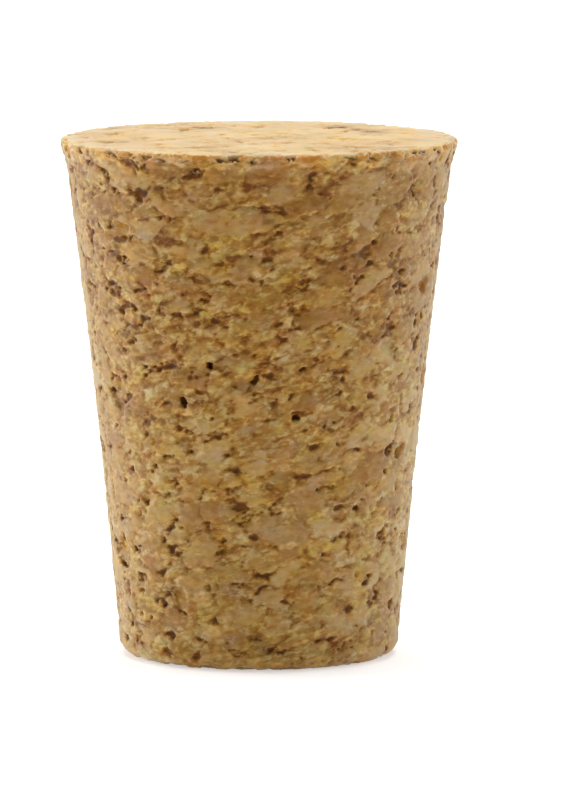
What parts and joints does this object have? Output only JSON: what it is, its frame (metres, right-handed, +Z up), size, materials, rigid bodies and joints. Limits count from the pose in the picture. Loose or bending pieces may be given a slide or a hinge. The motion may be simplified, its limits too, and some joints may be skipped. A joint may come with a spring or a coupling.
{
  "type": "cork stopper",
  "caption": "Small tapered bottle stopper of agglomerated cork, wide end up, with a sharp rim and a rounded lower edge.",
  "frame": {"origin": "middle of the narrow end's face, which the stopper stands on", "axes": "+Z up the axis from the narrow end to the wide end; -Y towards the viewer"},
  "size_m": [0.01, 0.01, 0.013],
  "materials": {
    "cork": "bare ground agglomerated cork, matte"
  },
  "bodies": {
    "root": {"stopper": "cork"}
  },
  "joints": []
}
